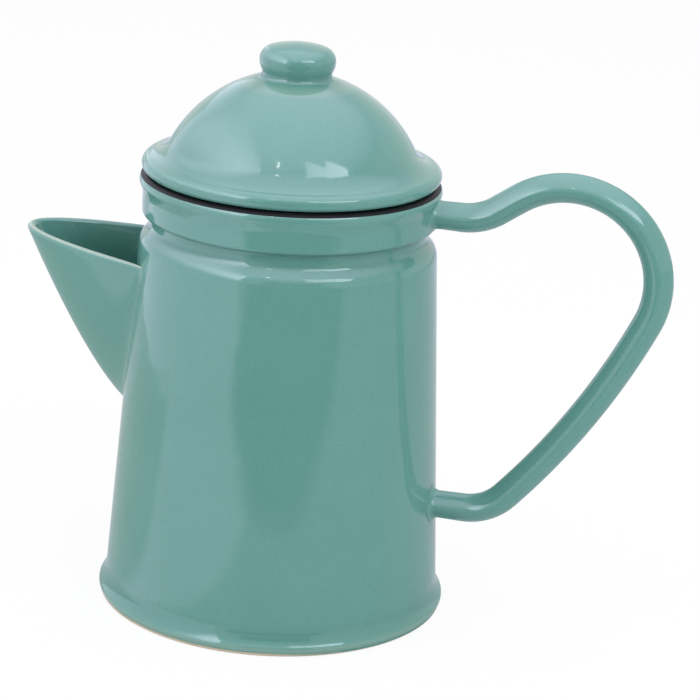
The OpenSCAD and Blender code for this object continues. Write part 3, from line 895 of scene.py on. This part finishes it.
def spout_beak():
    """A grid laid up the outside, over the edge and down the inside, and closed against the wall."""
    bm = bmesh.new()
    depth = bm.verts.layers.float.new("glaze_and_painted_light")
    rows = 2 * SPOUT_STEPS + EDGE_STEPS
    bmesh.ops.create_grid(bm, x_segments=SPOUT_SIDES, y_segments=rows, size=1)
    for vert in bm.verts:
        row = round((vert.co.y + 1) / 2 * rows)
        v = bent(vert.co.x, COLUMN_POWER)
        if row <= SPOUT_STEPS:
            vert.co = outer_beak((row / SPOUT_STEPS) ** ROW_POWER, v)
        elif row < SPOUT_STEPS + EDGE_STEPS:
            k = (row - SPOUT_STEPS) / EDGE_STEPS
            vert.co = beak_edge(k, v)
            # Thin glaze and a painted highlight: a pale line along the spout's edge
            vert[depth] = BEAK_EDGE_THIN_AND_HIGHLIGHT * exp(-((k - PALE_AT) / PALE_WIDTH) ** 2)
        else:
            t = ((rows - row) / SPOUT_STEPS) ** ROW_POWER
            vert.co = inner_beak(t, v)
            # Pooled glaze and painted shade, darker deeper inside the spout
            vert[depth] = BEAK_INSIDE_POOL_AND_SHADE * (1 - t ** POOL_AND_SHADE_POWER)
    bmesh.ops.remove_doubles(bm, verts=bm.verts, dist=JOIN)
    bmesh.ops.contextual_create(bm, geom=[e for e in bm.edges if e.is_boundary])
    bmesh.ops.recalc_face_normals(bm, faces=bm.faces)
    return bm


add_piece(spout_beak(), "spout_beak", mint_glaze, "pot", "mint_glaze", "spout")


# Handle: a slightly ridged oval bar swept along tangent arcs, with flared roots on the collar and the wall

upper_c = Vector((COLLAR_R + UPPER_LEAD, HANDLE_TOP_Z + UPPER_BEND_R))
arch_c = upper_c + toward(CROSS_ANGLE - 90, UPPER_BEND_R + ARCH_R) + toward(CROSS_ANGLE, CROSS_RUN)
lower_c = Vector((wall_r(HANDLE_BOTTOM_Z) + LOWER_LEAD, HANDLE_BOTTOM_Z + LOWER_BEND_R))
bow_c = meet(arch_c, BOW_R - ARCH_R, lower_c, BOW_R - LOWER_BEND_R, -1)
arch_end = heading(bow_c, arch_c)
bow_end = heading(bow_c, lower_c)
flare_top_z = flare_c.y + LIP_FLARE * (lip_c.y - flare_c.y) / (LIP_FLARE + LIP_ROUND)

BAR_SIDES = 48
ROOT_STEPS = 10
BEND_STEPS = 14
ARCH_STEPS = 56
BOW_STEPS = 24

# Form of the bar's section: 2 is an oval and 1 a diamond
BAR_FORM = 1.55


def pot_r(z):
    """The pot's outer radius at height z, on the wall, the collar and the lip."""
    if z < SHOULDER_Z:
        return wall_r(z)
    if z < flare_c.y:
        return COLLAR_R
    if z < flare_top_z:
        return flare_cr - leg(LIP_FLARE, z - flare_c.y)
    return lip_c.x + leg(LIP_ROUND, z - lip_c.y)


def root_point(angle, z0, rise, lead, s):
    """A point of the bar's section, at distance s from the wall, on a root at height z0."""
    part = max(0, s / lead)
    flare = 2 * (ROOT_FLARE - leg(ROOT_FLARE, min(ROOT_FLARE, max(0, ROOT_FLARE - s))))
    across = bent(cos(angle), 2 / BAR_FORM)
    w = HANDLE_ROOT_W + (HANDLE_W - HANDLE_ROOT_W) * part
    if z0 > SHOULDER_Z:
        spread = flare * (LIP_SIDE_FLARE if across > 0 else GROOVE_SIDE_FLARE)
    else:
        spread = flare
    y = (HANDLE_D + flare) / 2 * bent(sin(angle), 2 / BAR_FORM)
    z = z0 + rise * across * (w + spread) / 2
    on_wall = leg(pot_r(z), y)
    return Vector((on_wall + s - part * (on_wall - pot_r(z0)), y, z))


def ring_of(geom):
    return [e for e in geom if isinstance(e, bmesh.types.BMEdge)]


def handle_bar():
    """A ring pushed out of the collar, bent round the loop and pushed into the wall."""
    bm = bmesh.new()
    mark = bm.verts.layers.float.new("bar_angle")
    bm.verts.layers.float.new("glaze_and_painted_light")
    flared = [ROOT_FLARE * (1 - cos(pi / 2 * k / ROOT_STEPS)) for k in range(ROOT_STEPS + 1)]
    reaches = [-ROOT_SINK] + flared

    def set_root(verts, *root):
        for vert in verts:
            vert.co = root_point(vert[mark], *root)

    def push(ring):
        made = bmesh.ops.extrude_edge_only(bm, edges=ring)
        return ring_of(made["geom"]), [v for v in made["geom"] if isinstance(v, bmesh.types.BMVert)]

    def bend(ring, centre, sweep, steps):
        made = bmesh.ops.spin(
            bm, geom=ring + list({v for e in ring for v in e.verts}), cent=(centre.x, 0, centre.y),
            axis=(0, -1, 0), angle=radians(sweep), steps=steps)
        return ring_of(made["geom_last"])

    start = bmesh.ops.create_circle(bm, segments=BAR_SIDES, radius=1)["verts"]
    for vert in start:
        vert[mark] = atan2(vert.co.y, vert.co.x)
    ring = bm.edges[:]
    upper = (HANDLE_TOP_Z, 1, UPPER_LEAD)
    set_root(start, *upper, reaches[0])
    for s in reaches[1:] + [UPPER_LEAD]:
        ring, verts = push(ring)
        set_root(verts, *upper, s)
    ring = bend(ring, upper_c, CROSS_ANGLE, BEND_STEPS)
    ring, verts = push(ring)
    run = toward(CROSS_ANGLE, CROSS_RUN)
    bmesh.ops.translate(bm, verts=verts, vec=(run.x, 0, run.y))
    ring = bend(ring, arch_c, arch_end - CROSS_ANGLE - 90, ARCH_STEPS)
    ring = bend(ring, bow_c, bow_end - arch_end, BOW_STEPS)
    ring = bend(ring, lower_c, -90 - bow_end, BEND_STEPS)
    lower = (HANDLE_BOTTOM_Z, -1, LOWER_LEAD)
    for s in reversed(reaches):
        ring, verts = push(ring)
        set_root(verts, *lower, s)
    for side in (ring, [e for e in bm.edges if e.is_boundary and e not in ring]):
        bmesh.ops.contextual_create(bm, geom=side)
    bmesh.ops.recalc_face_normals(bm, faces=bm.faces)
    return bm


add_piece(handle_bar(), "handle_bar", mint_glaze, "pot", "mint_glaze", "handle")


# Lid and knob: centres of the rounded stretches, each tangent to the next

brim_z = RIM_Z + SEAT_GAP
dome_c = Vector((0, RIM_Z + DOME_H - DOME_R))
brim_c = Vector((BRIM_R - BRIM_ROUND, brim_z + BRIM_ROUND))
hollow_c = meet(dome_c, DOME_R + BRIM_FILLET, brim_c, BRIM_ROUND + BRIM_FILLET, 1)
skirt_out_r = mouth_r - SKIRT_GAP
skirt_in_r = skirt_out_r - SKIRT_T
skirt_z = brim_z - SKIRT_H
skirt_in_c = Vector((skirt_in_r + SKIRT_ROUND, skirt_z + SKIRT_ROUND))
skirt_out_c = Vector((skirt_out_r - SKIRT_ROUND, skirt_z + SKIRT_ROUND))
dome_in_r = DOME_R - LID_WALL
knob_top_z = RIM_Z + DOME_H + KNOB_H
knob_side_c = Vector((KNOB_R - KNOB_ROUND, knob_top_z - KNOB_CROWN_H))
knob_taper_c = Vector((KNOB_R - KNOB_TAPER, knob_side_c.y))
knob_neck_c = meet(dome_c, DOME_R + KNOB_HOLLOW, knob_taper_c, KNOB_TAPER + KNOB_HOLLOW, -1)
knob_seat = dome_c + toward(heading(dome_c, knob_neck_c), DOME_R)

# Angle up the dome from which the glaze thins towards the knob
CROWN_START = 64


def lid_profile():
    """From the middle of the dome's inside, down into the skirt, out over the brim and up the dome."""
    line = Profile(0, dome_c.y + dome_in_r)
    line.arc(dome_c, degrees(acos(skirt_in_r / dome_in_r)), CLOCKWISE, steps=40)
    line.line(skirt_in_r, skirt_in_c.y, steps=3)
    line.arc(skirt_in_c, 270, ANTICLOCKWISE, steps=6, depth=SKIRT_GLAZE)
    line.line(skirt_out_c.x, skirt_z)
    line.arc(skirt_out_c, 0, ANTICLOCKWISE, steps=6, depth=SKIRT_GLAZE)
    line.line(skirt_out_r, brim_z, steps=3)
    line.line(brim_c.x, brim_z, steps=2)
    line.arc(brim_c, heading(brim_c, hollow_c), ANTICLOCKWISE, steps=20)
    line.arc(hollow_c, heading(hollow_c, dome_c), CLOCKWISE, steps=16, depth=BRIM_GLAZE)
    line.arc(dome_c, CROWN_START, ANTICLOCKWISE, steps=48)
    line.arc(dome_c, heading(dome_c, knob_seat), ANTICLOCKWISE, depth=CROWN_GLAZE)
    line.line(0, knob_seat.y, steps=3)
    return line


add_piece(lid_profile().turned(), "lid_shell", mint_glaze, "lid", "mint_glaze", "lid_dome")


def knob_profile():
    """A pebble on a hollow neck that grows out of the dome, from the middle of its seat to its crown's."""
    crown_r = (knob_side_c.x ** 2 + KNOB_CROWN_H ** 2 - KNOB_ROUND ** 2) / (2 * (KNOB_CROWN_H - KNOB_ROUND))
    crown_c = Vector((0, knob_top_z - crown_r))
    line = Profile(0, knob_seat.y)
    line.line(*knob_seat, steps=3)
    line.arc(knob_neck_c, heading(knob_neck_c, knob_taper_c), CLOCKWISE, steps=14, depth=NECK_GLAZE)
    line.arc(knob_taper_c, 0, ANTICLOCKWISE, steps=8)
    line.arc(knob_side_c, heading(crown_c, knob_side_c), ANTICLOCKWISE, steps=16)
    line.arc(crown_c, 90, ANTICLOCKWISE, steps=20)
    return line


add_piece(knob_profile().turned(), "knob", mint_glaze, "lid", "mint_glaze", "lid_knob")


# Metal insert: the solids keep their shape and get a worked finish and softened edges

EDGE_WEAR = 0.2
WORN_SEGMENTS = 2
WORN_ANGLE = 50

for name, metal in (
    ("pump_tube", pump_metal), ("pump_bell", basket_metal), ("valve_retainer", basket_metal),
    ("tube_stop", basket_metal), ("pump_valve", basket_metal), ("basket_wall", basket_metal),
    ("basket_plate", basket_metal), ("basket_sleeve", pump_metal), ("spreader", basket_metal),
):
    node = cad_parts[name]
    node.data.materials.clear()
    node.data.materials.append(metal)
    bevel = node.modifiers.new("worn_edges", "BEVEL")
    bevel.width = EDGE_WEAR * MM
    bevel.segments = WORN_SEGMENTS
    bevel.limit_method = "ANGLE"
    bevel.angle_limit = radians(WORN_ANGLE)
